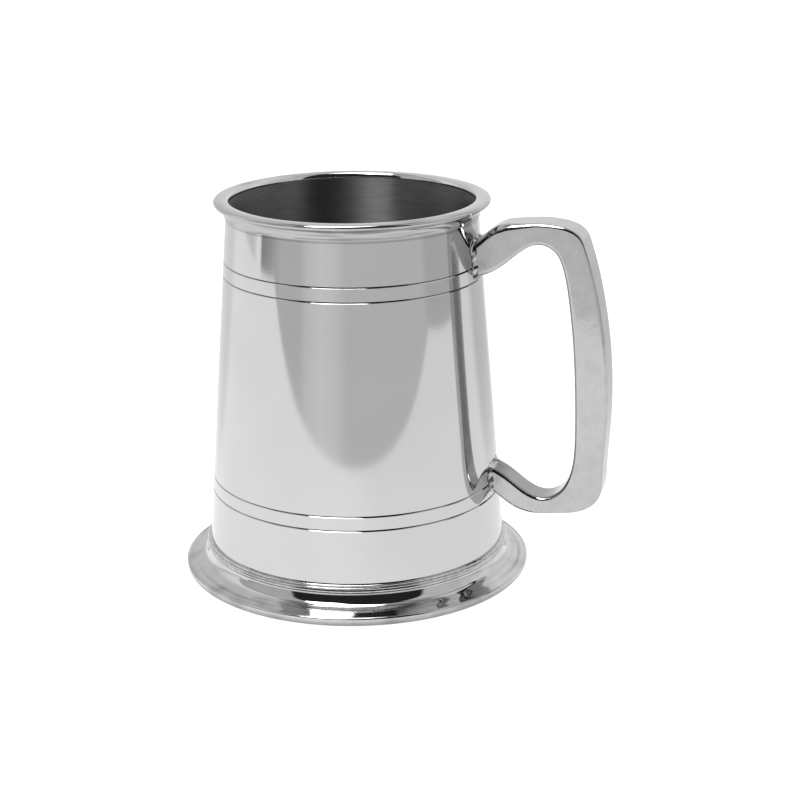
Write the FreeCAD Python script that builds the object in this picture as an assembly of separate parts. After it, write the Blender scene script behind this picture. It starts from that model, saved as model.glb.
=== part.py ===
import FreeCAD, Part
import math
import os

# One-pint pewter tankard: a tapered barrel on a flared foot, with a cast cranked handle.
# Millimetres, +Z up. The origin is on the barrel's axis, on the surface the foot stands on.
# The handle points along +X.

V = FreeCAD.Vector

# --- driving dimensions ---------------------------------------------------------------------
HEIGHT = 118.0            # table to the top of the lip
BARREL_R0 = 47.0          # outer radius of the barrel's cone, carried down to the table
TAPER = 0.0766            # radius lost for each millimetre of height
WALL = 1.0                # barrel wall
LIP_ROUND = 0.85          # rounding of the mouth's inner edge
BARREL_TOP = HEIGHT - 0.15
BARREL_BOTTOM = 8.0       # where the barrel stands on the foot
GROOVES_Z = (27.05, 31.32, 94.89, 99.23)
GROOVE_W = 0.55           # width and depth of an incised line
GROOVE_D = 0.28
CUT_OVER = 0.3            # how far a cutting shape stands out of the surface it cuts

FLOOR_TOP = 10.5          # bottom of the drinking well
FLOOR_T = 1.3
FLOOR_FILLET = 1.1

BAND_BOTTOM = 112.65      # moulded band below the lip
BAND_TOP = 116.0
BAND_STEP = 0.4           # how far the band's lower edge stands off the barrel
BAND_TOP_R = 40.3
BAND_EDGE = (0.02, 0.35)  # lean and height of the band's lower edge
BAND_HOLLOW = (0.35, 2.0) # middle of its hollow face, from the foot of that edge
BEAD_R = 41.9             # widest radius of the lip bead
BEAD_Z = 117.05           # and its height
BEAD_LOW_R = 40.65        # radius where the bead meets the band
# points of the bead's section, from its widest point
BEAD_BELLY = (-0.35, -0.7)
BEAD_CHEEK = (-0.22, 0.5)
BEAD_SHOULDER = (-0.75, 0.77)
BEAD_CROWN_IN = 2.3       # the bead's highest circle, in from its widest one

# ridged seam between barrel and foot, as (height, radius) of the valleys between its ridges
SEAM_RIDGES = ((10.85, 46.75), (10.05, 46.95), (9.25, 47.1), (8.0, 46.85))
SEAM_CROWN = 0.3          # how far each ridge stands out of its valleys

SKIRT_TOP_R = 46.85       # flare of the foot, outside face, top to bottom
SKIRT_FLARE = ((47.3, 6.6), (48.15, 5.2), (49.2, 4.62), (51.2, 3.95))
FLARE_START = (0.15, -1)  # directions of the flare at its top and at its edge
FLARE_FINISH = (1, -0.28)
SKIRT_END = (53.3, 3.3)
SKIRT_EDGE_T = 0.9        # thickness of the flare where it meets the rolled edge
SKIRT_INSIDE = ((45.0, 8.0), (45.9, 5.9), (47.4, 4.1), (49.6, 2.7))
FOOT_R = 54.1             # widest radius of the foot's rolled edge
ROLL_R = 2.8              # rounding under that edge
FOOT_FLAT_IN = 49.4       # inner radius of the flat it stands on
CREST = (0.15, 0.12)      # rolled edge's crest, from the end of the flare
ROLL_CHEEK = (-0.13, 0.36)  # and a point above its widest circle

HANDLE_TOP_W = 11.8       # handle thickness at its top and bottom limbs
HANDLE_BOTTOM_W = 9.9
HANDLE_TOP_Z = 112.0
HANDLE_BOTTOM_Z = 24.0
# side view of the handle as (distance from the barrel's axis, height), clockwise from the upper root
HANDLE_OUTER = ((36.0, 104.4), (40.5, 108.0), (44.6, 111.25), (46.9, 112.35), (51.5, 113.0),
                (57.3, 113.4), (63.0, 113.15), (67.6, 112.1), (70.6, 110.2), (72.5, 106.4),
                (76.8, 89.9), (79.5, 70.0), (79.75, 52.0),
                (78.9, 36.8), (77.4, 28.4), (73.0, 24.8), (65.0, 23.15), (57.4, 22.7),
                (51.8, 24.2), (45.5, 28.5), (38.0, 33.7))
HANDLE_INNER = ((37.5, 37.6), (43.0, 36.8), (48.4, 34.4), (54.8, 29.8), (60.0, 27.95),
                (65.2, 30.0), (68.9, 36.4), (70.05, 47.0), (69.9, 60.0), (69.0, 77.0),
                (67.4, 91.0), (65.6, 100.0), (63.0, 105.0),
                (58.2, 106.9), (52.9, 104.5), (46.9, 99.6), (42.0, 97.0), (36.0, 96.0))
OUTER_ARRIS = 0.8         # rounding of the handle's long edges
INNER_ARRIS = 1.2
# block the handle is cut from: distances from the axis, heights, and half its thickness
BLANK_X = (30.0, 90.0)
BLANK_Z = (10.0, 125.0)
BLANK_HALF = 10.0
SOLDER_LEG = 1.5          # solder fillet round each handle root
SOLDER_MOST = 200.0       # a collar of more cubic millimetres than this has not formed
UPPER_ROOT = (88.0, 116.0)  # heights between which each root lies
LOWER_ROOT = (22.0, 46.0)


def barrel_r(z):
    """Outer radius of the barrel's cone at a height."""
    return BARREL_R0 - TAPER * z


def pt(r, z):
    return V(r, 0, z)


def line(a, b):
    return Part.makeLine(pt(*a), pt(*b))


def arc(a, m, b):
    return Part.Arc(pt(*a), pt(*m), pt(*b)).toShape()


def off(point, step):
    return (point[0] + step[0], point[1] + step[1])


def spline(points, start=None, end=None):
    """Smooth curve through points, with optional end directions."""
    curve = Part.BSplineCurve()
    if start is None:
        curve.interpolate([pt(*p) for p in points])
    else:
        curve.interpolate([pt(*p) for p in points], InitialTangent=pt(*start), FinalTangent=pt(*end))
    return curve.toShape()


def revolve(edges):
    """Turn a closed outline in the XZ plane about the barrel's axis."""
    face = Part.Face(Part.Wire(Part.__sortEdges__(edges)))
    solid = face.revolve(V(0, 0, 0), V(0, 0, 1), 360)
    return solid.Solids[0] if solid.Solids else Part.Solid(solid)


def path(points):
    return [line(a, b) for a, b in zip(points[:-1], points[1:])]


def ring(points):
    """Solid of revolution with a straight-sided section."""
    return revolve(path(list(points) + [points[0]]))


# --- barrel -----------------------------------------------------------------------------------
def make_barrel():
    lip_z = BARREL_TOP - LIP_ROUND
    lip_r = barrel_r(lip_z) - WALL
    k = LIP_ROUND * (1 - math.sqrt(0.5))
    edges = path([
        (lip_r, lip_z),
        (barrel_r(BARREL_BOTTOM) - WALL, BARREL_BOTTOM),
        (barrel_r(BARREL_BOTTOM), BARREL_BOTTOM),
        (barrel_r(BARREL_TOP), BARREL_TOP),
        (lip_r + LIP_ROUND, BARREL_TOP),
    ])
    edges.append(arc((lip_r + LIP_ROUND, BARREL_TOP), (lip_r + k, BARREL_TOP - k), (lip_r, lip_z)))
    wall = revolve(edges)
    for z in GROOVES_Z:
        r = barrel_r(z)
        wide = GROOVE_W / 2 * (1 + CUT_OVER / GROOVE_D)
        wall = wall.cut(ring([(r + CUT_OVER, z - wide), (r - GROOVE_D, z), (r + CUT_OVER, z + wide)]))
    return wall


# --- rim ----------------------------------------------------------------------------------------
def make_rim_band():
    foot = (barrel_r(BAND_BOTTOM) + BAND_STEP, BAND_BOTTOM)
    step = off(foot, BAND_EDGE)
    edges = path([(barrel_r(BAND_TOP), BAND_TOP), (barrel_r(BAND_BOTTOM), BAND_BOTTOM), foot, step])
    edges.append(arc(step, off(foot, BAND_HOLLOW), (BAND_TOP_R, BAND_TOP)))
    edges.append(line((BAND_TOP_R, BAND_TOP), (barrel_r(BAND_TOP), BAND_TOP)))
    return revolve(edges)


def make_rim_bead():
    widest = (BEAD_R, BEAD_Z)
    shoulder = off(widest, BEAD_SHOULDER)
    crown = (BEAD_R - BEAD_CROWN_IN, HEIGHT)
    edges = [
        arc((BEAD_LOW_R, BAND_TOP), off(widest, BEAD_BELLY), widest),
        arc(widest, off(widest, BEAD_CHEEK), shoulder),
        arc(shoulder, crown, (barrel_r(BARREL_TOP), BARREL_TOP)),
    ]
    edges += path([
        (barrel_r(BARREL_TOP), BARREL_TOP),
        (barrel_r(BAND_TOP), BAND_TOP),
        (BEAD_LOW_R, BAND_TOP),
    ])
    return revolve(edges)


# --- floor --------------------------------------------------------------------------------------
def make_floor():
    low = FLOOR_TOP - FLOOR_T
    return ring([
        (0, low),
        (barrel_r(low) - WALL, low),
        (barrel_r(FLOOR_TOP) - WALL, FLOOR_TOP),
        (0, FLOOR_TOP),
    ])


def make_floor_solder():
    low = FLOOR_TOP - FLOOR_T
    r = barrel_r(low) - WALL
    r_low = barrel_r(low - FLOOR_FILLET) - WALL
    hollow = FLOOR_FILLET * (1 - math.sqrt(0.5)) * 1.1
    edges = path([(r - FLOOR_FILLET, low), (r, low), (r_low, low - FLOOR_FILLET)])
    edges.append(arc((r_low, low - FLOOR_FILLET), (r - hollow, low - hollow), (r - FLOOR_FILLET, low)))
    return revolve(edges)


# --- foot ---------------------------------------------------------------------------------------
def make_foot_seam():
    edges = []
    for (z1, r1), (z2, r2) in zip(SEAM_RIDGES[:-1], SEAM_RIDGES[1:]):
        mid = ((r1 + r2) / 2 + SEAM_CROWN, (z1 + z2) / 2)
        edges.append(arc((r1, z1), mid, (r2, z2)))
    z_top, r_top = SEAM_RIDGES[0]
    z_low, r_low = SEAM_RIDGES[-1]
    edges += path([(r_low, z_low), (barrel_r(z_low), z_low), (barrel_r(z_top), z_top), (r_top, z_top)])
    return revolve(edges)


def skirt_seat():
    """Lower outer corner of the flare, where it sits on the rolled edge."""
    return (SKIRT_END[0], SKIRT_END[1] - SKIRT_EDGE_T)


def make_skirt():
    flare = [(SKIRT_TOP_R, BARREL_BOTTOM)] + list(SKIRT_FLARE) + [SKIRT_END]
    return revolve([
        spline(flare, FLARE_START, FLARE_FINISH),
        line(SKIRT_END, skirt_seat()),
        line(skirt_seat(), SKIRT_INSIDE[-1]),
        spline(SKIRT_INSIDE),
        line(SKIRT_INSIDE[0], flare[0]),
    ])


def make_foot_wire():
    roll_r = FOOT_R - ROLL_R
    k = ROLL_R * math.sqrt(0.5)
    crest = off(SKIRT_END, CREST)
    widest = (FOOT_R, ROLL_R)
    return revolve([
        line(SKIRT_INSIDE[-1], skirt_seat()),
        line(skirt_seat(), SKIRT_END),
        line(SKIRT_END, crest),
        arc(crest, off(widest, ROLL_CHEEK), widest),
        arc(widest, (roll_r + k, ROLL_R - k), (roll_r, 0)),
        line((roll_r, 0), (FOOT_FLAT_IN, 0)),
        line((FOOT_FLAT_IN, 0), SKIRT_INSIDE[-1]),
    ])


# --- handle -------------------------------------------------------------------------------------
def handle_outline():
    """Side view of the handle; both roots run on inside the barrel and are trimmed to it later."""
    outer = spline(HANDLE_OUTER)
    inner = spline(HANDLE_INNER)
    return Part.Wire([
        outer,
        line(HANDLE_OUTER[-1], HANDLE_INNER[0]),
        inner,
        line(HANDLE_INNER[-1], HANDLE_OUTER[0]),
    ])


def half_width(z):
    """Half the handle's thickness, falling evenly from the upper limb to the lower one."""
    share = (z - HANDLE_BOTTOM_Z) / (HANDLE_TOP_Z - HANDLE_BOTTOM_Z)
    return (HANDLE_BOTTOM_W + share * (HANDLE_TOP_W - HANDLE_BOTTOM_W)) / 2


def barrel_cone():
    """Solid cone filling the barrel's outside, its seam turned away from the handle."""
    top = HEIGHT + 10
    cone = Part.makeCone(barrel_r(0), barrel_r(top), top)
    cone.rotate(V(0, 0, 0), V(0, 0, 1), 180)
    return cone


def make_handle_blank():
    """Handle with its arrises rounded, before the roots are trimmed to the barrel."""
    near, far = BLANK_X
    low, high = BLANK_Z
    corners = [V(near, -half_width(low), low), V(near, half_width(low), low),
               V(near, half_width(high), high), V(near, -half_width(high), high)]
    side = Part.makePolygon(corners + corners[:1])
    wedge = Part.Face(side).extrude(V(far - near, 0, 0))
    face = Part.Face(handle_outline())
    face.translate(V(0, -BLANK_HALF, 0))
    blank = face.extrude(V(0, 2 * BLANK_HALF, 0)).common(wedge).Solids[0]
    for points, radius in ((HANDLE_OUTER, OUTER_ARRIS), (HANDLE_INNER, INNER_ARRIS)):
        length = spline(points).Length
        arrises = [e for e in blank.Edges if abs(e.Length - length) < 2.0]
        blank = blank.makeFillet(radius, arrises).Solids[0]
    return blank


def make_solder(handle, cone, heights):
    """Fillet of solder round one handle root, lying on the barrel and on the handle."""
    z_low, z_high = heights
    reach = 2 * HANDLE_TOP_W
    slab = Part.makeBox(FOOT_R, 2 * reach, z_high - z_low, V(BARREL_R0 / 2, -reach, z_low))
    joined = cone.common(slab).fuse(handle.common(slab)).Solids[0]

    def on_root(p):
        inside = abs(p.y) < HANDLE_TOP_W and z_low + 1 < p.z < z_high - 1
        return inside and abs(math.hypot(p.x, p.y) - barrel_r(p.z)) < 0.02

    roots = [e for e in joined.Edges if all(on_root(p) for p in e.discretize(5))]
    collar = joined.makeFillet(SOLDER_LEG, roots).cut(joined)
    if not 0 < collar.Volume < SOLDER_MOST:
        raise ValueError("the solder fillet at a handle root did not form: %.1f mm3" % collar.Volume)
    return collar


def node_shapes():
    cone = barrel_cone()
    handle = make_handle_blank().cut(cone)
    return {
        "barrel_wall": make_barrel(),
        "rim_band": make_rim_band(),
        "rim_bead": make_rim_bead(),
        "floor_disc": make_floor(),
        "floor_solder_ring": make_floor_solder(),
        "foot_solder_ring": make_foot_seam(),
        "foot_skirt": make_skirt(),
        "foot_rim_wire": make_foot_wire(),
        "handle": handle,
        "upper_handle_solder": make_solder(handle, cone, UPPER_ROOT),
        "lower_handle_solder": make_solder(handle, cone, LOWER_ROOT),
    }


os.makedirs("parts", exist_ok=True)
for node, shape in node_shapes().items():
    solid = shape.Solids[0]
    solid.exportStep("parts/" + node + ".step")
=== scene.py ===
import math

import bmesh
import bpy
import numpy as np
from mathutils import Matrix, Vector, noise


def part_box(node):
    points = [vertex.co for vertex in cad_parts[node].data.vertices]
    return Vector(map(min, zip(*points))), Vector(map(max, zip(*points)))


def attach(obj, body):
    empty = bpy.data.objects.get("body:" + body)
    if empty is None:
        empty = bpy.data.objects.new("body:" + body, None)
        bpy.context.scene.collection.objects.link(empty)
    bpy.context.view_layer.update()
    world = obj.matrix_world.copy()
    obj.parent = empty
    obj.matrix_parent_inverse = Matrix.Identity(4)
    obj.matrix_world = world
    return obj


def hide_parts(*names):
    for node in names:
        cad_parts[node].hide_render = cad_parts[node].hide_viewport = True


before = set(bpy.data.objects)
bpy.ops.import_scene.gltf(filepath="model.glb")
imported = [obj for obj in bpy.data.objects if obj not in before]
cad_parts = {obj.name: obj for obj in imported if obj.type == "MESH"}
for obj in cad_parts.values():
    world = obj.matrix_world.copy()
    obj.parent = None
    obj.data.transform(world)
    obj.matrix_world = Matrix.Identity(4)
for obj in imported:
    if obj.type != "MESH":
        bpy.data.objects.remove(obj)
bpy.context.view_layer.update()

# A pewter tankard. Shapes are worked out in millimetres in the CAD model's own frame
# (barrel axis on Z, handle along +X) and turned into metres when a mesh is made.
MM = 0.001
TURNS = 360               # divisions round every turned piece

# --- sizes shared with the CAD model ------------------------------------------------------------
TAPER = 0.0766            # barrel radius lost for each millimetre of height
WALL = 1.0                # barrel wall
GROOVES_Z = (27.05, 31.32, 94.89, 99.23)
GROOVE_W = 0.55           # width and depth of an incised line
GROOVE_D = 0.28
BAND_STEP = 0.4           # how far the band's lower edge stands off the barrel
BAND_EDGE = (0.02, 0.35)  # lean and height of the band's lower edge
BAND_HOLLOW = (0.35, 2.0)  # middle of its hollow face, from the foot of that edge
BEAD_LOW_R = 40.65        # radius where the bead meets the band
BEAD_BELLY = (-0.35, -0.7)     # points of the bead's section, from its widest point
BEAD_CHEEK = (-0.22, 0.5)
BEAD_SHOULDER = (-0.75, 0.77)
BEAD_CROWN_IN = 2.3       # the bead's highest circle, in from its widest one
HANDLE_TOP = (112.0, 11.8)       # height and thickness of the handle at its upper limb
HANDLE_BOTTOM = (24.0, 9.9)      # and at its lower limb
OUTER_ARRIS = 0.8         # rounding of the handle's long edges
INNER_ARRIS = 1.2
HANDLE_OUTER = ((36.0, 104.4), (40.5, 108.0), (44.6, 111.25), (46.9, 112.35), (51.5, 113.0),
                (57.3, 113.4), (63.0, 113.15), (67.6, 112.1), (70.6, 110.2), (72.5, 106.4),
                (76.8, 89.9), (79.5, 70.0), (79.75, 52.0), (78.9, 36.8), (77.4, 28.4),
                (73.0, 24.8), (65.0, 23.15), (57.4, 22.7), (51.8, 24.2), (45.5, 28.5),
                (38.0, 33.7))
HANDLE_INNER = ((36.0, 96.0), (42.0, 97.0), (46.9, 99.6), (52.9, 104.5), (58.2, 106.9),
                (63.0, 105.0), (65.6, 100.0), (67.4, 91.0), (69.0, 77.0), (69.9, 60.0),
                (70.05, 47.0), (68.9, 36.4), (65.2, 30.0), (60.0, 27.95), (54.8, 29.8),
                (48.4, 34.4), (43.0, 36.8), (37.5, 37.6))
# points of the two outlines that face each other across the handle, as positions in the lists
HANDLE_PAIRS = ((0, 0), (1, 1), (2, 1.6), (3.3, 2.4), (4.3, 3.1), (5, 3.8), (6, 4.3), (7, 4.8),
                (8, 5.2), (9, 5.7), (9.5, 6.5), (10, 7.1), (11, 8.4), (12, 9.6), (13, 10.75),
                (13.6, 11.2), (14, 11.5), (14.5, 11.8), (15, 12.1), (16, 12.6), (17, 13.5),
                (18, 14.2), (19, 15.1), (19.5, 16), (20, 17))


def limits(node):
    """Outer radius, lowest and highest level of a turned CAD node, in millimetres."""
    lo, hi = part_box(node)
    return max(-lo.x, hi.x, -lo.y, hi.y) / MM, lo.z / MM, hi.z / MM


BARREL_R, BARREL_BOTTOM, BARREL_TOP = limits("barrel_wall")


def barrel_r(z):
    """Outer radius of the barrel's cone at a height."""
    return BARREL_R - TAPER * (z - BARREL_BOTTOM)


def off(point, step):
    """A point moved by a step."""
    return point[0] + step[0], point[1] + step[1]


# --- outlines -----------------------------------------------------------------------------------
def arc(a, m, b, steps=14):
    """Points along the circle from a through m to b."""
    (ax, ay), (mx, my), (bx, by) = a, m, b
    d = 2 * (ax * (my - by) + mx * (by - ay) + bx * (ay - my))
    a2, m2, b2 = ax * ax + ay * ay, mx * mx + my * my, bx * bx + by * by
    cx = (a2 * (my - by) + m2 * (by - ay) + b2 * (ay - my)) / d
    cy = (a2 * (bx - mx) + m2 * (ax - bx) + b2 * (mx - ax)) / d
    radius = math.hypot(ax - cx, ay - cy)
    start = math.atan2(ay - cy, ax - cx)
    middle = (math.atan2(my - cy, mx - cx) - start) % math.tau
    sweep = (math.atan2(by - cy, bx - cx) - start) % math.tau
    if middle > sweep:
        sweep -= math.tau
    turns = [start + sweep * i / steps for i in range(steps + 1)]
    return [(cx + radius * math.cos(t), cy + radius * math.sin(t)) for t in turns]


def spline(points, at, start=None, end=None):
    """Smooth curve through points, read at positions in the list; ends are free or directed."""
    p = np.array(points, float)
    u = np.concatenate([[0], np.cumsum(np.linalg.norm(np.diff(p, axis=0), axis=1))])
    n, h = len(p), np.diff(u)
    slope = np.diff(p, axis=0) / h[:, None]
    a, b = np.zeros((n, n)), np.zeros((n, 2))
    a[0, 0] = a[-1, -1] = 1
    for i in range(1, n - 1):
        a[i, i - 1:i + 2] = h[i - 1], 2 * (h[i - 1] + h[i]), h[i]
        b[i] = 6 * (slope[i] - slope[i - 1])
    if start:
        a[0, :2] = 2 * h[0], h[0]
        b[0] = 6 * (slope[0] - np.array(start) / math.hypot(*start))
    if end:
        a[-1, -2:] = h[-1], 2 * h[-1]
        b[-1] = 6 * (np.array(end) / math.hypot(*end) - slope[-1])
    bend = np.linalg.solve(a, b)
    at = np.asarray(at, float)
    i = np.clip(at.astype(int), 0, n - 2)
    hi = h[i][:, None]
    t = (at - i)[:, None] * hi
    first = slope[i] - hi * (2 * bend[i] + bend[i + 1]) / 6
    return p[i] + t * first + t ** 2 * bend[i] / 2 + t ** 3 * (bend[i + 1] - bend[i]) / (6 * hi)


def along(points, steps, start=None, end=None):
    """A spline through points as a list of pairs."""
    return [tuple(q) for q in spline(points, np.linspace(0, len(points) - 1, steps), start, end)]


# --- meshes -------------------------------------------------------------------------------------
WELD = 1e-7               # metres within which two vertices become one
SHARP = 30                # degrees between faces from which an edge is shaded sharp


def add_piece(name, verts, faces, node, materials, tone=None, grime_and_shade=None):
    """Smooth-shaded closed mesh from millimetres, riding on the tankard in place of a CAD node."""
    mesh = bpy.data.meshes.new(name)
    mesh.from_pydata([Vector(v) * MM for v in verts], [], faces)
    bm = bmesh.new()
    bm.from_mesh(mesh)
    bmesh.ops.remove_doubles(bm, verts=bm.verts, dist=WELD)
    bmesh.ops.recalc_face_normals(bm, faces=bm.faces)
    bm.to_mesh(mesh)
    bm.free()
    for material in materials:
        mesh.materials.append(material)
    for polygon in mesh.polygons:
        polygon.use_smooth = True
        if tone:
            polygon.material_index = tone(polygon.center / MM)
    mesh.set_sharp_from_angle(angle=math.radians(SHARP))
    # per-vertex darkening: old polish and wear on some pieces, painted shade on others
    if grime_and_shade:
        dark = mesh.attributes.new("grime_and_shade", "FLOAT", "POINT")
        dark.data.foreach_set("value", [grime_and_shade(v.co / MM) for v in mesh.vertices])
    piece = bpy.data.objects.new(name, mesh)
    bpy.context.scene.collection.objects.link(piece)
    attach(piece, "root")
    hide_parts(node)
    return piece


def quads(count, rows, closed=True, ring=True):
    """Faces between rings of vertices; closed joins the last ring to the first."""
    faces = []
    for i in range(count if closed else count - 1):
        here, there = i * rows, (i + 1) % count * rows
        for j in range(rows if ring else rows - 1):
            k = (j + 1) % rows
            faces.append((here + j, there + j, there + k, here + k))
    return faces


def lathe(name, outline, node, materials, tone=None, nudge=None, grime_and_shade=None):
    """Turn a closed outline of (radius, height) about the barrel's axis."""
    verts = []
    for i in range(TURNS):
        angle = math.tau * i / TURNS
        for r, z in outline:
            if nudge:
                r, z = nudge(angle, r, z)
            verts.append((r * math.cos(angle), r * math.sin(angle), z))
    faces = quads(TURNS, len(outline))
    return add_piece(name, verts, faces, node, materials, tone, grime_and_shade)


def tube(name, rings, node, materials, closed, grime_and_shade):
    """Skin over matching rings of points; an open run of rings gets flat ends."""
    rings = np.asarray(rings)
    count, rows = rings.shape[:2]
    faces = quads(count, rows, closed)
    if not closed:
        faces += [tuple(range(rows)), tuple((count - 1) * rows + j for j in range(rows))]
    return add_piece(name, rings.reshape(-1, 3).tolist(), faces, node, materials,
                     grime_and_shade=grime_and_shade)


def ripple(angle, z, size, seed, around=6.0):
    """Smooth random value of about +-1 that joins up round the barrel."""
    where = Vector((math.cos(angle) * around, math.sin(angle) * around, z / size + seed))
    return 2 * noise.noise(where)


def blend_in(value, low, high):
    """0 below low, 1 above high, smooth between."""
    t = min(max((value - low) / (high - low), 0.0), 1.0)
    return t * t * (3 - 2 * t)


PATCH_MIDDLE = 0.15       # value where the noise is 0, and how fast it rises with the noise
PATCH_CONTRAST = 1.6


def patches(point, size, seed):
    """0 in some places, rising to about 1 in smooth patches of a size; makes dirt and painted
    shade uneven.
    """
    value = noise.noise(point / size + Vector((seed, 0, 0)))
    return min(max(PATCH_MIDDLE + PATCH_CONTRAST * value, 0.0), 1.0)


# --- materials ----------------------------------------------------------------------------------
PEWTER = 0.60             # reflectance of clean pewter
CAST_PEWTER = 0.51        # and of the cast handle's duller finish
NOISE_LOW, NOISE_HIGH = 0.3, 0.7     # a noise texture's value is mostly between these
RARE = 0.72               # share of the small spots that are left out


class Nodes:
    """Short way to add and join shader nodes."""

    def __init__(self, name):
        self.material = bpy.data.materials.new(name)
        self.material.use_nodes = True
        self.tree = self.material.node_tree
        self.tree.nodes.clear()
        self.out = self.add("ShaderNodeOutputMaterial")

    def add(self, kind, **settings):
        node = self.tree.nodes.new(kind)
        for key, value in settings.items():
            setattr(node, key, value)
        return node

    def put(self, node, socket, value):
        """Set a socket, or join it when the value is another node's output."""
        target = node.inputs[socket]
        if isinstance(value, bpy.types.NodeSocket):
            self.tree.links.new(value, target)
        else:
            target.default_value = value

    def maths(self, operation, a, b=0.0):
        node = self.add("ShaderNodeMath", operation=operation)
        self.put(node, 0, a)
        self.put(node, 1, b)
        return node.outputs[0]

    def times(self, a, b):
        return self.maths("MULTIPLY", a, b)

    def scaled(self, *scale):
        """Object position times a scale per millimetre, one for all three axes or one for each."""
        if len(scale) == 1:
            scale *= 3
        where = self.add("ShaderNodeTexCoord").outputs["Object"]
        node = self.add("ShaderNodeVectorMath", operation="MULTIPLY")
        self.put(node, 0, where)
        self.put(node, 1, [s / MM for s in scale])
        return node.outputs[0]

    def noise(self, vector, detail=2.0, distortion=0.0):
        node = self.add("ShaderNodeTexNoise")
        self.put(node, "Vector", vector)
        self.put(node, "Scale", 1.0)
        self.put(node, "Detail", detail)
        self.put(node, "Distortion", distortion)
        return node.outputs["Fac"]

    def specks(self, vector, size):
        """1 inside rare small spots, 0 elsewhere."""
        node = self.add("ShaderNodeTexVoronoi")
        self.put(node, "Vector", vector)
        self.put(node, "Scale", 1.0)
        near = self.ramp(node.outputs["Distance"], size, size * 0.4, 0.0, 1.0)
        rare = self.add("ShaderNodeSeparateColor")
        self.put(rare, 0, node.outputs["Color"])
        return self.times(near, self.maths("GREATER_THAN", rare.outputs[0], RARE))

    def ramp(self, value, low, high, to_low, to_high):
        node = self.add("ShaderNodeMapRange")
        for socket, number in zip(("Value", "From Min", "From Max", "To Min", "To Max"),
                                  (value, low, high, to_low, to_high)):
            self.put(node, socket, number)
        return node.outputs["Result"]

    def vary(self, noise_value, to_low, to_high):
        """A noise's own range spread over another one."""
        return self.ramp(noise_value, NOISE_LOW, NOISE_HIGH, to_low, to_high)

    def fade(self, mask, shade):
        """1 where a mask is 0, falling to a shade where it is 1."""
        return self.ramp(mask, 0.0, 1.0, 1.0, shade)

    def grey(self, value):
        node = self.add("ShaderNodeCombineColor")
        for channel in range(3):
            self.put(node, channel, value)
        return node.outputs[0]

    def bump(self, height, depth):
        node = self.add("ShaderNodeBump")
        self.put(node, "Height", height)
        self.put(node, "Distance", depth * MM)
        self.put(node, "Strength", 1.0)
        return node.outputs[0]

    def clean(self, shade):
        """Multiplier that falls to a shade where old polish has gathered and where shade is
        painted into the colour.
        """
        darkening = self.add("ShaderNodeAttribute", attribute_name="grime_and_shade")
        return self.fade(darkening.outputs["Fac"], shade)

    def metal(self, colour, roughness, normal, anisotropic=0.0, tangent=None):
        node = self.add("ShaderNodeBsdfPrincipled")
        self.put(node, "Metallic", 1.0)
        self.put(node, "Base Color", colour)
        self.put(node, "Roughness", roughness)
        self.put(node, "Normal", normal)
        self.put(node, "Anisotropic", anisotropic)
        if tangent:
            self.put(node, "Tangent", tangent)
            self.put(node, "Anisotropic Rotation", 0.25)
        self.put(self.out, "Surface", node.outputs[0])
        return self.material


def polished_pewter():
    """Mirror finish: faint buffing lines round the axis, soft cloudiness, rare pin-holes."""
    n = Nodes("polished_pewter")
    lines = n.noise(n.scaled(0.05, 0.05, 9.0), detail=3.0)
    cloud = n.noise(n.scaled(0.06), detail=3.0)
    pits = n.specks(n.scaled(0.22), size=0.035)
    stain = n.vary(cloud, PEWTER * 0.985, PEWTER * 1.015)
    spotted = n.times(stain, n.fade(pits, shade=0.45))
    colour = n.grey(n.times(spotted, n.clean(shade=0.25)))
    rough = n.ramp(n.maths("ADD", lines, cloud), low=0.7, high=1.3, to_low=0.045, to_high=0.085)
    height = n.maths("SUBTRACT", n.vary(lines, 0.0, 0.012), n.times(pits, 6.0))
    return n.metal(colour, rough, n.bump(height, depth=0.01))


def brushed_pewter():
    """Bore and floor, turned on a lathe: fine grooves round the axis that draw reflections out;
    the colour is painted far darker than pewter, as shade inside the barrel.
    """
    n = Nodes("brushed_pewter")
    lines = n.noise(n.scaled(0.03, 0.03, 14.0), detail=4.0)
    bands = n.noise(n.scaled(0.15, 0.15, 1.2), detail=3.0)
    # painted shade: the inside gets well under half of pewter's reflectance so that it looks dark
    colour = n.grey(n.vary(bands, PEWTER * 0.37, PEWTER * 0.46))
    rough = n.vary(lines, 0.36, 0.44)
    tangent = n.add("ShaderNodeTangent", direction_type="RADIAL", axis="Z").outputs[0]
    return n.metal(colour, rough, n.bump(lines, depth=0.008), anisotropic=1.0, tangent=tangent)


def cast_pewter():
    """Handle: linished and polished casting with a slight orange-peel and a few pits."""
    n = Nodes("cast_pewter")
    peel = n.noise(n.scaled(0.25), detail=2.0)
    grain = n.noise(n.scaled(2.5, 2.5, 0.5), detail=3.0)
    pits = n.specks(n.scaled(0.3), size=0.05)
    stain = n.vary(peel, CAST_PEWTER * 0.97, CAST_PEWTER * 1.03)
    streaked = n.times(stain, n.vary(grain, 0.96, 1.04))
    spotted = n.times(streaked, n.fade(pits, shade=0.4))
    colour = n.grey(n.times(spotted, n.clean(shade=0.2)))
    rough = n.vary(grain, 0.07, 0.14)
    height = n.maths("SUBTRACT", n.maths("ADD", n.times(peel, 6.0), grain), n.times(pits, 8.0))
    return n.metal(colour, rough, n.bump(height, depth=0.006))


def solder(name, waves):
    """Soft solder: bright, with a skin of waves of a depth and darker flux stains."""
    n = Nodes(name)
    wave = n.noise(n.scaled(0.6), detail=3.0, distortion=0.4)
    fine = n.noise(n.scaled(3.0), detail=2.0)
    stain = n.ramp(wave, low=NOISE_LOW, high=0.62, to_low=PEWTER * 0.75, to_high=PEWTER)
    colour = n.grey(n.times(stain, n.clean(shade=0.15)))
    rough = n.vary(fine, 0.06, 0.16)
    return n.metal(colour, rough, n.bump(wave, depth=waves))


POLISHED = polished_pewter()
BRUSHED = brushed_pewter()
CAST = cast_pewter()
SOLDER = solder("solder", waves=0.05)
SEAM_SOLDER = solder("seam_solder", waves=0.015)


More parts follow.
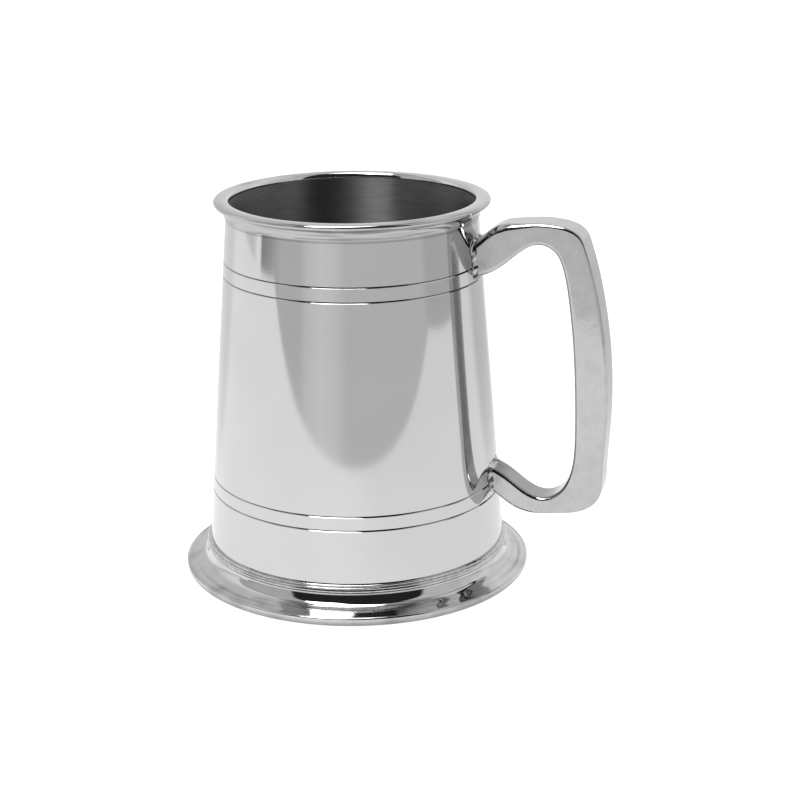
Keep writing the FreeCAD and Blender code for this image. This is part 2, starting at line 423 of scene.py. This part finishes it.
# --- barrel -------------------------------------------------------------------------------------
LIP_DROP = 1.6            # height over which the mouth's inner edge is rounded
LIP_STEPS = 10
CREVICE = 0.45            # height of the dark line below the rim band
BAND_Z = limits("rim_band")[1]
# an incised line's section as (place across its width, share of its depth)
GROOVE_SHAPE = ((-0.5, 0.0), (-0.12, 0.82), (0.0, 1.0), (0.12, 0.82), (0.5, 0.0))
GROOVE_DARK_SHARE = 0.3         # half the width of the darkening in an incised line, as a share of the line's
INNER_SHARE = 0.75        # deeper in the wall than this share of it is the inner face


def barrel_outline():
    lip_z = BARREL_TOP - LIP_DROP
    lip_r = barrel_r(lip_z) - WALL
    outline = [(barrel_r(BARREL_BOTTOM), BARREL_BOTTOM)]
    for z in GROOVES_Z:
        for step, depth in GROOVE_SHAPE:
            level = z + step * GROOVE_W
            outline.append((barrel_r(level) - depth * GROOVE_D, level))
    for z in (BAND_Z - 2 * CREVICE, BAND_Z - CREVICE, BAND_Z, BARREL_TOP):
        outline.append((barrel_r(z), z))
    for i in range(1, LIP_STEPS + 1):
        t = math.pi / 2 * i / LIP_STEPS
        outline.append((lip_r + (barrel_r(BARREL_TOP) - lip_r) * (1 - math.sin(t)),
                        lip_z + LIP_DROP * math.cos(t)))
    outline.append((barrel_r(BARREL_BOTTOM) - WALL, BARREL_BOTTOM))
    return outline


def on_inside(point):
    return math.hypot(point.x, point.y) < barrel_r(point.z) - WALL * INNER_SHARE


def barrel_grime_and_shade(point):
    """Darker in the bottoms of the incised lines, and painted shade mixed with old polish in the
    crevice below the rim band.
    """
    if on_inside(point):
        return 0.0
    groove = max(1 - abs(point.z - z) / (GROOVE_DARK_SHARE * GROOVE_W) for z in GROOVES_Z)
    # painted shade, with old polish, in the crevice below the rim band
    below = (BAND_Z - point.z) / (2 * CREVICE)
    crevice = 1 - below if 0 <= below else 0.0
    return max(groove, crevice, 0.0)


def in_bore(centre):
    """1 for the brushed inside of the barrel, 0 for the polished outside."""
    return int(on_inside(centre) and centre.z < BARREL_TOP - LIP_DROP)


lathe("barrel_body", barrel_outline(), "barrel_wall", [POLISHED, BRUSHED],
      tone=in_bore, grime_and_shade=barrel_grime_and_shade)


# --- rim ----------------------------------------------------------------------------------------
BAND_SEAT = 0.04          # where the band's rounded lower edge starts, out from the barrel
BAND_CORNER = (-0.09, 0.09)    # and the middle of its rounding, from the foot of the edge
BEAD_WIDE = 1.05          # height of the bead's widest circle above its foot
BEAD_FOOT_Z = limits("rim_bead")[1]
RIM_VALLEY = 0.7          # how far old polish reaches up and down from the foot of the bead
RIM_DULL = 0.24           # dirt everywhere on the rim
RIM_STREAK = 0.7          # and the most that its streaks add


def band_outline():
    r_top, z_low, z_top = limits("rim_band")
    inner = (barrel_r(z_low), z_low)
    foot = (barrel_r(z_low) + BAND_STEP, z_low)
    step = off(foot, BAND_EDGE)
    edge = arc((barrel_r(z_low) + BAND_SEAT, z_low), off(foot, BAND_CORNER), step, 8)
    hollow = arc(step, off(foot, BAND_HOLLOW), (r_top, z_top))
    return [(barrel_r(z_top), z_top), inner] + edge + hollow[1:]


def bead_outline():
    r, z_low, z_top = limits("rim_bead")
    widest = (r, z_low + BEAD_WIDE)
    shoulder = off(widest, BEAD_SHOULDER)
    inner = (barrel_r(BARREL_TOP), BARREL_TOP)
    return (arc((BEAD_LOW_R, z_low), off(widest, BEAD_BELLY), widest)
            + arc(widest, off(widest, BEAD_CHEEK), shoulder)[1:]
            + arc(shoulder, (r - BEAD_CROWN_IN, z_top), inner)[1:]
            + [(barrel_r(z_low), z_low)])


def rim_grime(point):
    """Old polish in the valley between the band and the bead, uneven round the rim."""
    valley = abs(point.z - BEAD_FOOT_Z) / RIM_VALLEY
    streak = noise.noise(Vector((0.09 * point.x, 0.09 * point.y, 2.2 * point.z)))
    darkening = max(0.0, 1 - valley) * (0.45 + 0.55 * patches(point, size=9.0, seed=7.0))
    return min(RIM_DULL + darkening + RIM_STREAK * max(streak, 0.0), 1.0)


lathe("rim_moulding", band_outline(), "rim_band", [POLISHED], grime_and_shade=rim_grime)
lathe("rim_roll", bead_outline(), "rim_bead", [POLISHED], grime_and_shade=rim_grime)


# --- floor of the well --------------------------------------------------------------------------
DISC_STEPS = 24           # rings of faces across the floor
SOLDER_LOW, SOLDER_TOP = limits("floor_solder_ring")[1:]
FILLET_SWELL = 0.32       # middle of the fillet's face from its corner, as a share of its leg
FILLET_WAVE = 0.25        # how far the fillet's face is pushed about


def disc_outline():
    _, low, top = limits("floor_disc")
    r_top, r_low = barrel_r(top) - WALL, barrel_r(low) - WALL
    dish = [(r_top * (1 - i / DISC_STEPS), top) for i in range(DISC_STEPS + 1)]
    return [(0.0, low), (r_low, low)] + dish


def floor_solder_outline():
    leg = SOLDER_TOP - SOLDER_LOW
    corner = (barrel_r(SOLDER_TOP) - WALL, SOLDER_TOP)
    foot = (barrel_r(SOLDER_LOW) - WALL, SOLDER_LOW)
    middle = off(corner, (-FILLET_SWELL * leg, -FILLET_SWELL * leg))
    return [corner, foot] + arc(foot, middle, off(corner, (-leg, 0)))[1:]


def floor_solder_nudge(angle, r, z):
    """Push the middle of the fillet's face about; its two edges stay put."""
    share = (barrel_r(z) - WALL - r) * (SOLDER_TOP - z) / (SOLDER_TOP - SOLDER_LOW) ** 2
    wave = 1 + 0.5 * ripple(angle, z, size=3.0, seed=4.0, around=9.0)
    return r + FILLET_WAVE * share * wave, z


lathe("well_floor", disc_outline(), "floor_disc", [BRUSHED])
lathe("well_solder", floor_solder_outline(), "floor_solder_ring", [SOLDER],
      nudge=floor_solder_nudge)


# --- foot ---------------------------------------------------------------------------------------
SEAM_VALLEYS = ((10.85, 46.75), (10.05, 46.95), (9.25, 47.1), (8.0, 46.85))   # height, radius
SEAM_CROWN = 0.3          # how far each ridge stands out of its valleys
SEAM_HIDDEN = 0.1         # nearer the barrel than this the seam is out of sight
SEAM_WAVE = 0.018         # unevenness of its ridges
SEAM_SHADE_WIDTH = 0.12          # half the width of the painted shade in its valleys
# blobs of solder as (azimuth, height, how far they stand out, half width)
SEAM_SPECKS = ((-118.0, 10.7, 0.35, 0.9), (-109.0, 9.9, 0.22, 0.6), (-84.0, 10.6, 0.2, 0.5),
               (-20.0, 10.6, 0.25, 0.8), (35.0, 10.2, 0.3, 0.9), (140.0, 10.6, 0.25, 0.7))


def seam_outline():
    outline = []
    for (z1, r1), (z2, r2) in zip(SEAM_VALLEYS[:-1], SEAM_VALLEYS[1:]):
        middle = ((r1 + r2) / 2 + SEAM_CROWN, (z1 + z2) / 2)
        outline += arc((r1, z1), middle, (r2, z2), 10)[:-1]
    (z_top, r_top), (z_low, r_low) = SEAM_VALLEYS[0], SEAM_VALLEYS[-1]
    return outline + [(r_low, z_low), (barrel_r(z_low), z_low), (barrel_r(z_top), z_top)]


def seam_shade(point):
    """Painted shade in the valleys between the ridges, uneven round the seam."""
    near = min(abs(point.z - z) for z, _ in SEAM_VALLEYS[1:-1])
    valley = max(0.0, 1 - near / SEAM_SHADE_WIDTH)
    # painted shade in the valleys, made uneven by patches
    return 0.5 * valley * (0.4 + 0.6 * patches(point, size=6.0, seed=2.0))


def seam_nudge(angle, r, z):
    """Slight unevenness of the soldered ridges, with a few blobs; the hidden faces stay put."""
    out = r - barrel_r(z)
    if out < SEAM_HIDDEN:
        return r, z
    r += SEAM_WAVE * ripple(angle, z, size=4.0, seed=1.0, around=7.0)
    for azimuth, level, tall, wide in SEAM_SPECKS:
        gap = (angle - math.radians(azimuth) + math.pi) % math.tau - math.pi
        away = math.hypot(gap * r, z - level) / wide
        r += tall * max(0.0, 1 - away ** 2) ** 2
    return r, z


# section of the flare and the rolled edge as (radius, height)
SKIRT_TOP = (46.85, 8.0)
SKIRT_FLARE = ((47.3, 6.6), (48.15, 5.2), (49.2, 4.62), (51.2, 3.95))
FLARE_START = (0.15, -1)  # directions of the flare at its top and at its edge
FLARE_FINISH = (1, -0.28)
SKIRT_END = (53.3, 3.3)
SKIRT_SEAT = (53.3, 2.4)
SKIRT_INSIDE = ((45.0, 8.0), (45.9, 5.9), (47.4, 4.1), (49.6, 2.7))
ROLL_R = 2.8              # rounding under the rolled edge
FOOT_FLAT_IN = 49.4       # inner radius of the flat it stands on
CREST = (0.15, 0.12)      # rolled edge's crest, from the end of the flare
ROLL_CHEEK = (-0.13, 0.36)     # and a point above its widest circle


def skirt_outline():
    flare = along((SKIRT_TOP,) + SKIRT_FLARE + (SKIRT_END,), 40, FLARE_START, FLARE_FINISH)
    return flare + [SKIRT_SEAT] + along(SKIRT_INSIDE, 20)[::-1]


def wire_outline():
    r, low, _ = limits("foot_rim_wire")
    k = ROLL_R * math.sqrt(0.5)
    widest = (r, ROLL_R)
    return ([SKIRT_INSIDE[-1], SKIRT_SEAT, SKIRT_END]
            + arc(off(SKIRT_END, CREST), off(widest, ROLL_CHEEK), widest)
            + arc(widest, (r - ROLL_R + k, ROLL_R - k), (r - ROLL_R, low), 20)[1:]
            + [(FOOT_FLAT_IN, low)])


EDGE_WEAR_AND_SHADE = (47.5, 51.0)  # radii between which the foot's wear and painted shade grow to their full


def foot_wear_and_shade(point):
    """Cloudy wear over the foot; towards its rolled edge it grows heavier, partly wear and partly
    painted shade near the floor.
    """
    r = math.hypot(point.x, point.y)
    # towards the rolled edge the darkening is partly wear and partly painted shade near the floor
    edge = blend_in(r, *EDGE_WEAR_AND_SHADE)
    streak = noise.noise(Vector((1.6 * point.x / r, 1.6 * point.y / r, 1.1 * r)))
    broad = (0.12 + 0.2 * edge) * patches(point, size=7.0, seed=5.0)
    worn_and_shaded = broad + 0.1 * edge * patches(point, size=1.6, seed=8.0)
    return min(worn_and_shaded + 0.5 * edge * max(streak + 0.1, 0.0), 1.0)


lathe("foot_seam", seam_outline(), "foot_solder_ring", [SEAM_SOLDER],
      nudge=seam_nudge, grime_and_shade=seam_shade)
lathe("foot_flare", skirt_outline(), "foot_skirt", [POLISHED], grime_and_shade=foot_wear_and_shade)
lathe("foot_roll", wire_outline(), "foot_rim_wire", [POLISHED], grime_and_shade=foot_wear_and_shade)


# --- handle -------------------------------------------------------------------------------------
STATIONS = 420            # rings along the handle
ARRIS_STEPS = 7
FACE_STEPS = 6            # divisions across the outer and inner faces, each side of the middle
SIDE_STEPS = 14           # divisions across the flat sides
# rounding of the outer edges by place along the outer line: worn round near the upper root
ARRIS_AT = ((0.0, 2.3), (3.0, 2.3), (5.0, 1.1), (8.0, OUTER_ARRIS), (20.0, OUTER_ARRIS))
ROOT_DEPTH = 0.35         # how far the handle's ends reach into the barrel wall
COLLAR_STEPS = 260        # divisions round a solder collar
COLLAR_LEG = 1.2          # reach of the solder along the handle and the barrel
COLLAR_CURVE = 10         # divisions across its face
COLLAR_SINK = 0.3         # how far its hidden faces lie inside the metal
SEARCH = (40, 161)        # stations along the handle searched for its edge, and samples of them
ROOT_SHADE = 7.0           # how far from the barrel the painted shade at the roots reaches
LOWER_LIMB = sorted(p for p in HANDLE_INNER if p[1] < 37.0)   # top of the lower limb
LIMB_SHADE = (0.3, 1.2)    # distance from it over which its painted dark reflection fades
LIMB_END = (61.0, 67.0)   # and how far out along it


def half_width(z):
    """Half the handle's thickness, falling evenly from the upper limb to the lower one."""
    (z_top, w_top), (z_low, w_low) = HANDLE_TOP, HANDLE_BOTTOM
    return (w_low + (z - z_low) / (z_top - z_low) * (w_top - w_low)) / 2


def section(depth, half, arris):
    """Half of the handle's section, as (distance out from the inner face, sideways)."""
    outer = [(depth, (half - arris) * i / FACE_STEPS) for i in range(FACE_STEPS)]
    for i in range(ARRIS_STEPS + 1):
        t = math.pi / 2 * i / ARRIS_STEPS
        outer.append((depth - arris * (1 - math.cos(t)), half - arris * (1 - math.sin(t))))
    run = depth - arris - INNER_ARRIS
    side = [(depth - arris - run * i / SIDE_STEPS, half) for i in range(1, SIDE_STEPS)]
    inner = []
    for i in range(ARRIS_STEPS + 1):
        t = math.pi / 2 * i / ARRIS_STEPS
        inner.append((INNER_ARRIS * (1 - math.sin(t)), half - INNER_ARRIS * (1 - math.cos(t))))
    for i in range(1, FACE_STEPS + 1):
        inner.append((0.0, (half - INNER_ARRIS) * (1 - i / FACE_STEPS)))
    return outer + side + inner


def handle_lines():
    """Points of the handle as [station, place round the section, xyz], before trimming."""
    pairs = np.array(HANDLE_PAIRS, float)
    share = np.linspace(0, 1, STATIONS)
    at_outer = share * (len(HANDLE_OUTER) - 1)
    at_inner = np.interp(at_outer, pairs[:, 0], pairs[:, 1])
    outer, inner = spline(HANDLE_OUTER, at_outer), spline(HANDLE_INNER, at_inner)
    rings = []
    for at, o, i in zip(at_outer, outer, inner):
        depth = float(np.linalg.norm(o - i))
        across = (o - i) / depth
        middle = half_width(float((o[1] + i[1]) / 2))
        arris = float(np.interp(at, *zip(*ARRIS_AT)))
        half_ring = []
        for out, side in section(depth, middle, arris):
            x, z = i + across * out
            slim = half_width(z) - middle
            half_ring.append((x, side + slim * side / half_width(z), z))
        other = [(x, -y, z) for x, y, z in half_ring[-2:0:-1]]
        rings.append(half_ring + other)
    return np.array(rings)


def read(line, at):
    """Point of one line at fractional stations."""
    whole = np.arange(len(line))
    return np.stack([np.interp(at, whole, line[:, k]) for k in range(3)], axis=-1)


def crossing(line, depth, upper):
    """Fractional station where a line comes out of the barrel."""
    out = np.hypot(line[:, 0], line[:, 1]) - (barrel_r(line[:, 2]) - depth)
    middle = len(line) // 2
    if upper:
        i = max(k for k in range(middle) if out[k] < 0)
        return i + out[i] / (out[i] - out[i + 1])
    i = min(k for k in range(middle, len(line)) if out[k] < 0)
    return i - out[i] / (out[i] - out[i - 1])


LINES = handle_lines()


def handle_rings():
    rings = np.zeros_like(LINES)
    for j in range(LINES.shape[1]):
        line = LINES[:, j]
        first, last = crossing(line, ROOT_DEPTH, True), crossing(line, ROOT_DEPTH, False)
        rings[:, j] = read(line, np.linspace(first, last, STATIONS))
    return rings


def unit(vector):
    return vector / np.linalg.norm(vector)


def walk(points, distance):
    """Point at a distance along a run of points."""
    steps = np.linalg.norm(np.diff(points, axis=0), axis=1)
    walked = np.concatenate([[0], np.cumsum(steps)])
    return np.array([np.interp(distance, walked, points[:, i]) for i in range(3)])


def collar_rings(upper, leg, seed):
    """Lumpy fillet of solder round one handle root: rings run round the root."""
    count = LINES.shape[1]
    roots = [crossing(LINES[:, j], 0.0, upper) for j in range(count)]
    way = 1 if upper else -1
    base = np.array([read(LINES[:, j], roots[j]) for j in range(count)])
    middle = base.mean(axis=0)
    place = np.linspace(0, count, COLLAR_STEPS, endpoint=False)
    rings = []
    for at in place:
        j, share = int(at) % count, at % 1
        k = (j + 1) % count
        root = base[j] * (1 - share) + base[k] * share
        start = roots[j] * (1 - share) + roots[k] * share
        wave = noise.noise(Vector(root * 0.35) + Vector((seed, 0, 0)))
        fine = noise.noise(Vector(root * 0.8) + Vector((0, seed, 0)))
        reach_up = leg * (1 + 0.4 * wave + 0.2 * fine)
        reach_out = leg * (1 - 0.25 * wave + 0.12 * fine)
        line = LINES[:, j] * (1 - share) + LINES[:, k] * share
        on_handle = walk(read(line, start + way * np.linspace(0, *SEARCH)), reach_up)
        normal = unit(np.array([root[0], root[1], TAPER * math.hypot(root[0], root[1])]))
        away = unit(np.cross(normal, base[k] - base[j - 1]))
        if away @ (root - middle) < 0:
            away = -away
        on_barrel = root + away * reach_out
        on_barrel[:2] *= barrel_r(on_barrel[2]) / math.hypot(on_barrel[0], on_barrel[1])
        swell = 0.3 + 0.1 * fine + 0.1 * wave
        bend = root + swell * ((on_handle - root) + (on_barrel - root))
        ring = []
        for i in range(COLLAR_CURVE + 1):
            t = i / COLLAR_CURVE
            ring.append((1 - t) ** 2 * on_handle + 2 * t * (1 - t) * bend + t * t * on_barrel)
        inward = on_handle - middle
        inward[0] = 0
        inward /= max(np.linalg.norm(inward), 1e-9)
        ring += [on_barrel - COLLAR_SINK * normal, root - COLLAR_SINK * normal - 0.2 * inward,
                 on_handle - COLLAR_SINK * inward]
        rings.append(ring)
    return np.array(rings)


def handle_shade_and_grime(point):
    """Painted shade near the roots and a painted dark reflection along the top of the lower limb,
    with light patches of dullness elsewhere.
    """
    out = math.hypot(point.x, point.y) - barrel_r(point.z)
    mottled = 0.5 + 0.5 * patches(point, size=3.0, seed=1.0)
    # painted shade where the handle meets the barrel
    root = 0.5 * (1 - blend_in(out, 0.0, ROOT_SHADE)) * mottled
    # painted dark reflection along the top of the lower limb
    on_top = 1 - blend_in(abs(point.z - np.interp(point.x, *zip(*LOWER_LIMB))), *LIMB_SHADE)
    on_top *= 1 - blend_in(point.x, *LIMB_END)
    return min(root + 0.4 * on_top + 0.07 * patches(point, size=3.5, seed=6.0), 1.0)


def collar_grime(point):
    """Dark flux stains between bright lumps of solder."""
    return min(max(0.45 + 1.8 * noise.noise(point / 1.7), 0.0), 1.0)


tube("handle_cranked", handle_rings(), "handle", [CAST], closed=False,
     grime_and_shade=handle_shade_and_grime)
for piece_name, node_name, at_top, lumps in (
        ("upper_root_solder", "upper_handle_solder", True, 3.0),
        ("lower_root_solder", "lower_handle_solder", False, 9.0)):
    tube(piece_name, collar_rings(at_top, COLLAR_LEG, lumps), node_name, [SOLDER],
         closed=True, grime_and_shade=collar_grime)


# --- studio -------------------------------------------------------------------------------------
# Set out from the camera's side of the tankard: x to the right, y away from the camera.
VIEW_AZIMUTH = 16.5       # the camera stands this far round from -Y towards the handle
LIFT = 0.70 / PEWTER      # the levels below are for a metal that reflects 0.70
ROOM_R = 1500.0
TABLE = (-800.0, 560.0, -280.0, 1400.0)    # left, right, front and back edges
TABLE_RINGS = (50.0, 51.5, 53.0, 55.0, 58.0, 62.0, 68.0, 78.0, 95.0, 130.0, 200.0, 280.0)
TABLE_OUTER = 6           # more rings from the last of these to the edges
TABLE_SHADOWS = ((-146, 26, 0.18), (134, 24, 0.24))   # azimuth, half width, depth
# brightness of the walls at table level, by angle right of the camera
LOW_ROOM = ((-180, 0.85), (-134, 0.85), (-128, 0.68), (-97, 0.68), (-91, 0.95), (-88, 0.95),
            (-86, 0.28), (-76, 0.38), (-65, 0.55), (-47, 0.55), (-40, 0.66), (-28, 0.73),
            (-16, 0.69), (-6, 0.59), (60, 0.58), (66, 0.49), (100, 0.50), (106, 0.83),
            (124, 0.67), (146, 0.67), (160, 0.85), (180, 0.85))
# above it, with the dark opening the camera looks through
HIGH_ROOM = ((-180, 0.80), (-166, 0.66), (-130, 0.66), (-110, 0.86), (-97, 0.86), (-95, 0.45),
             (-72, 0.54), (-50, 0.50), (-48, 0.02), (47, 0.02), (50, 0.60), (90, 0.66),
             (105, 0.88), (125, 0.75), (165, 0.80), (180, 0.80))
# and overhead
CEILING = ((-180, 0.45), (-144, 0.35), (-118, 0.20), (-60, 0.20), (-50, 0.03), (60, 0.03),
           (64, 0.30), (105, 0.40), (150, 0.40), (180, 0.48))
WALL_TURN = (3, 6)        # elevations between which the first gives way to the second
CEILING_TURN = (58, 66)   # and the second to the third
ROOM_ELEVATIONS = (*range(-60, 0, 6), 0, 3, 4, 5, 6, *range(8, 91, 2))
ROOM_COLUMNS = 360
FLOOR_DEPTH = -0.05       # keeps the floor just clear of the foot
FLOOR_HALF = 4000.0


def turned(x, y, z):
    """Studio millimetres to world metres."""
    return Matrix.Rotation(math.radians(VIEW_AZIMUTH), 3, "Z") @ Vector((x, y, z)) * MM


def glow_material():
    n = Nodes("studio_glow")
    level = n.add("ShaderNodeAttribute", attribute_name="glow")
    lamp = n.add("ShaderNodeEmission")
    n.put(lamp, "Strength", level.outputs["Fac"])
    n.put(n.out, "Surface", lamp.outputs[0])
    return n.material


def set_rays(thing, camera, glossy, diffuse):
    thing.visible_camera, thing.visible_glossy, thing.visible_diffuse = camera, glossy, diffuse
    thing.visible_shadow = thing.visible_transmission = thing.visible_volume_scatter = False


def add_stage(name, verts, faces, material, levels=None):
    mesh = bpy.data.meshes.new(name)
    mesh.from_pydata([turned(*v) for v in verts], [], faces)
    mesh.materials.append(material)
    if levels:
        glow = mesh.attributes.new("glow", "FLOAT", "POINT")
        glow.data.foreach_set("value", [LIFT * level for level in levels])
    thing = bpy.data.objects.new(name, mesh)
    bpy.context.scene.collection.objects.link(thing)
    return thing


def room_level(azimuth, elevation):
    low = float(np.interp(azimuth, *zip(*LOW_ROOM)))
    high = float(np.interp(azimuth, *zip(*HIGH_ROOM)))
    over = float(np.interp(azimuth, *zip(*CEILING)))
    high += (over - high) * blend_in(elevation, *CEILING_TURN)
    return low + (high - low) * blend_in(elevation, *WALL_TURN)


def add_room():
    """Walls and ceiling that only reflections see."""
    verts, levels, faces = [], [], []
    for elevation in ROOM_ELEVATIONS:
        for azimuth in range(-180, 180):
            e, a = math.radians(elevation), math.radians(azimuth)
            flat = ROOM_R * math.cos(e)
            verts.append((flat * math.sin(a), -flat * math.cos(a), ROOM_R * math.sin(e)))
            levels.append(room_level(azimuth, elevation))
    for i in range(len(ROOM_ELEVATIONS) - 1):
        here, there = i * ROOM_COLUMNS, (i + 1) * ROOM_COLUMNS
        for j in range(ROOM_COLUMNS):
            k = (j + 1) % ROOM_COLUMNS
            faces.append((here + j, here + k, there + k, there + j))
    set_rays(add_stage("room", verts, faces, GLOW, levels), False, True, False)


def table_level(x, y):
    """White table, dimmer to the right and behind, with the tankard's two soft shadows on it and a
    painted contact shadow close round the foot.
    """
    r = math.hypot(x, y)
    azimuth = math.degrees(math.atan2(x, -y))
    level = 0.99 - 0.09 * blend_in(x, -40, 80) - 0.05 * blend_in(r, 150, 400)
    for middle, half, depth in TABLE_SHADOWS:
        side = 1 - blend_in(abs(azimuth - middle), 0.5 * half, half)
        level -= depth * side * blend_in(r, 60, 240)
    # painted contact shadow: the table darkens to a tenth close round the foot
    return level * (0.1 + 0.9 * blend_in(r, 49, 58))


def add_table():
    """Table top that only reflections see; the camera sees the floor instead."""
    left, right, front, back = TABLE
    verts, levels = [], []
    for j in range(TURNS):
        a = math.tau * j / TURNS
        x, y = math.sin(a), -math.cos(a)
        reach = min((right if x > 0 else left) / x if abs(x) > 1e-9 else 1e9,
                    (back if y > 0 else front) / y if abs(y) > 1e-9 else 1e9)
        spread = (reach - TABLE_RINGS[-1]) / TABLE_OUTER
        radii = [min(r, reach - 0.1) for r in TABLE_RINGS]
        radii += [TABLE_RINGS[-1] + spread * i for i in range(1, TABLE_OUTER + 1)]
        for r in radii:
            verts.append((x * r, y * r, 0.0))
            levels.append(table_level(x * r, y * r))
    faces = quads(TURNS, len(TABLE_RINGS) + TABLE_OUTER, ring=False)
    set_rays(add_stage("table_top", verts, faces, GLOW, levels), False, True, False)


def floor_material():
    """Pale paper, mostly lit evenly, with a faint tooth."""
    n = Nodes("pale_floor")
    tooth = n.noise(n.scaled(0.2), detail=3.0)
    paper = n.add("ShaderNodeBsdfDiffuse")
    n.put(paper, "Color", n.grey(n.vary(tooth, 0.24, 0.26)))
    lamp = n.add("ShaderNodeEmission")
    n.put(lamp, "Strength", 0.95)
    both = n.add("ShaderNodeAddShader")
    n.put(both, 0, paper.outputs[0])
    n.put(both, 1, lamp.outputs[0])
    n.put(n.out, "Surface", both.outputs[0])
    return n.material


def add_softbox(name, centre, turn, size, radiance):
    """Soft light lying flat above the tankard, its long side turned from the studio's x."""
    light = bpy.data.lights.new(name, "AREA")
    light.shape = "RECTANGLE"
    light.size, light.size_y = size[0] * MM, size[1] * MM
    light.energy = radiance * math.pi * light.size * light.size_y
    lamp = bpy.data.objects.new(name, light)
    bpy.context.scene.collection.objects.link(lamp)
    lamp.location = turned(*centre)
    lamp.rotation_euler = (0.0, 0.0, math.radians(VIEW_AZIMUTH + turn))
    lamp.visible_camera = False


GLOW = glow_material()
add_room()
add_table()
corners = [(x * FLOOR_HALF, y * FLOOR_HALF, FLOOR_DEPTH)
           for x, y in ((-1, -1), (1, -1), (1, 1), (-1, 1))]
floor = add_stage("floor", corners, [(0, 1, 2, 3)], floor_material())
set_rays(floor, True, False, True)
add_softbox("overhead_softbox", centre=(-277.0, -380.0, 1100.0), turn=60.0, size=(1110.0, 473.0),
            radiance=8.0)

world = bpy.data.worlds.new("studio_air")
bpy.context.scene.world = world
world.use_nodes = True
air = next(n for n in world.node_tree.nodes if n.type == "BACKGROUND")
air.inputs["Color"].default_value = (1.0, 1.0, 1.0, 1.0)
air.inputs["Strength"].default_value = 1.0


# --- camera -------------------------------------------------------------------------------------
CAMERA = (0.0, -565.0, 233.55)   # in studio millimetres
PITCH = 17.707                   # degrees below level
YAW = 1.417                      # to the right
ROLL = -0.434
LENS = 85.54                     # on a 36 mm sensor

camera_data = bpy.data.cameras.new("camera")
camera_data.lens = LENS
camera_data.sensor_width = 36.0
camera_data.clip_start, camera_data.clip_end = 0.01, 20.0
camera = bpy.data.objects.new("camera", camera_data)
bpy.context.scene.collection.objects.link(camera)
camera.location = turned(*CAMERA)
aim = (Matrix.Rotation(math.radians(VIEW_AZIMUTH - YAW), 3, "Z")
       @ Matrix.Rotation(math.radians(90 - PITCH), 3, "X")
       @ Matrix.Rotation(math.radians(ROLL), 3, "Z"))
camera.rotation_euler = aim.to_euler()
bpy.context.scene.camera = camera
bpy.context.scene.view_settings.view_transform = "Standard"
